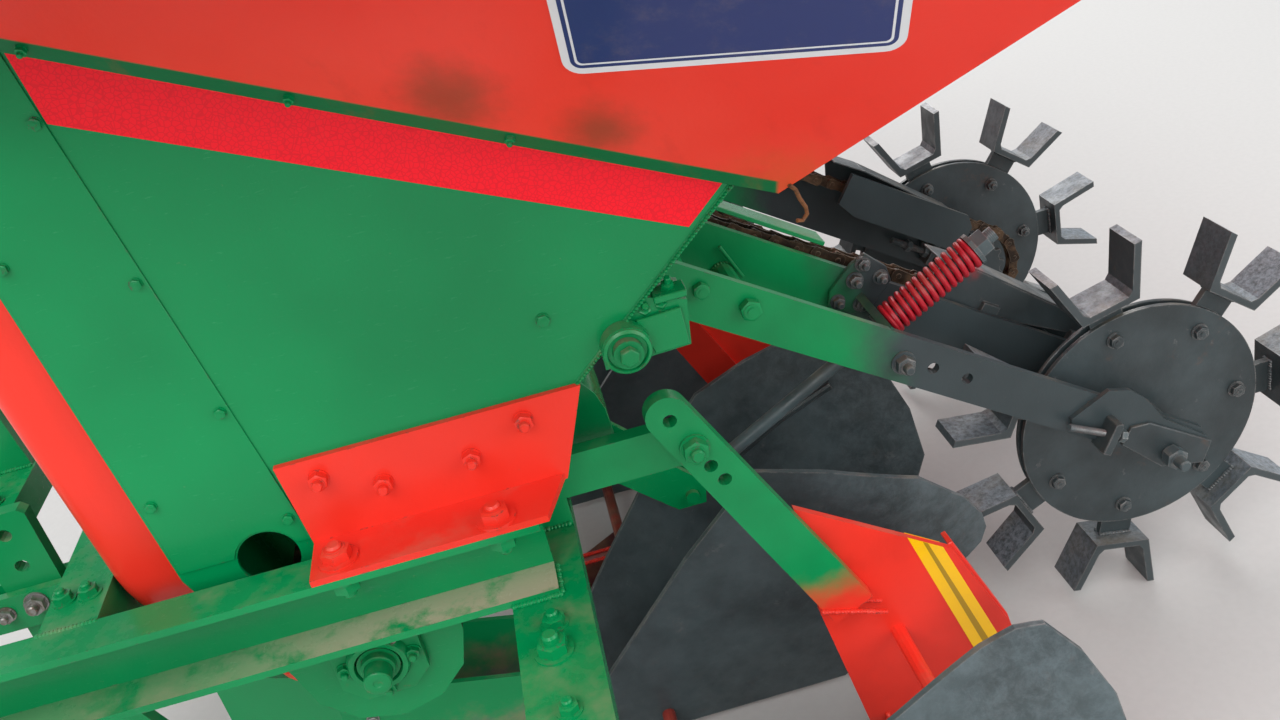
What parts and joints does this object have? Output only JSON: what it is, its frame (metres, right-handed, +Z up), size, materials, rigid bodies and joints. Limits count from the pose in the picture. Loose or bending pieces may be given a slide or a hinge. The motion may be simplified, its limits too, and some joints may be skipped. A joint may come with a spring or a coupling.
{
  "type": "two-row potato planter",
  "caption": "Tractor-mounted potato planter with a flared seed hopper, cup elevators, seed ducts, furrow openers, lugged land wheels on sprung forks and ridgers.",
  "frame": {"origin": "on the ground, below the middle of the length and width", "axes": "+X to the rear, away from the tractor; +Y to the right of the direction of travel seen from above with the tractor ahead at -X; +Z up"},
  "size_m": [1.7094, 1.676, 1.25],
  "materials": {
    "red_enamel": "glossy red enamel with scuffs and overspray",
    "green_enamel": "glossy green enamel, chipped and dusty at edges",
    "dark_iron": "dark grey paint worn to bare metal where it meets soil",
    "chain_steel": "brown oily roller chain",
    "shaft_steel": "lightly rusted turned steel"
  },
  "bodies": {
    "planter": {"bearing_bracket_left": "green_enamel", "bearing_bracket_right": "green_enamel", "boot_shaft_left": "shaft_steel", "boot_shaft_right": "shaft_steel", "casing_bracket_left": "red_enamel", "casing_bracket_right": "red_enamel", "countershaft_left": "shaft_steel", "countershaft_right": "shaft_steel", "cross_member": "green_enamel", "cup_chain_left": "chain_steel", "cup_chain_right": "chain_steel", "drive_chain_left": "chain_steel", "drive_chain_right": "chain_steel", "elevator_head_left": "green_enamel", "elevator_head_right": "green_enamel", "fork_left": "green_enamel", "fork_right": "green_enamel", "frame_channel_left": "green_enamel", "frame_channel_right": "green_enamel", "furrow_opener_left": "green_enamel", "furrow_opener_right": "green_enamel", "head_shaft_left": "shaft_steel", "head_shaft_right": "shaft_steel", "hitch_link_left": "green_enamel", "hitch_link_right": "green_enamel", "hitch_mast": "green_enamel", "hopper": "red_enamel", "mouldboards_centre": "dark_iron", "mouldboards_left": "dark_iron", "mouldboards_right": "dark_iron", "pressure_spring_left": "red_enamel", "pressure_spring_right": "red_enamel", "ridger_body_centre": "red_enamel", "ridger_body_left": "red_enamel", "ridger_body_right": "red_enamel", "ridger_leg_centre": "green_enamel", "ridger_leg_left": "green_enamel", "ridger_leg_right": "green_enamel", "rod_anchor_left": "green_enamel", "rod_anchor_right": "green_enamel", "seed_casing_left": "green_enamel", "seed_casing_right": "green_enamel", "seed_duct_left": "red_enamel", "seed_duct_right": "red_enamel", "shank_clamp_left": "green_enamel", "shank_clamp_right": "green_enamel", "spring_rod_left": "dark_iron", "spring_rod_right": "dark_iron", "toolbar_front": "green_enamel", "toolbar_rear": "green_enamel"},
    "wheel_left": {"wheel_left": "dark_iron"},
    "wheel_right": {"wheel_right": "dark_iron"}
  },
  "joints": [
    {"name": "wheel_left_turn", "type": "hinge", "parent": "planter", "child": "wheel_left", "pos_m": [0.621, -0.267, 0.23802], "axis": [0, 1, 0], "continuous": true},
    {"name": "wheel_right_turn", "type": "hinge", "parent": "planter", "child": "wheel_right", "pos_m": [0.621, 0.267, 0.23802], "axis": [0, 1, 0], "continuous": true}
  ]
}
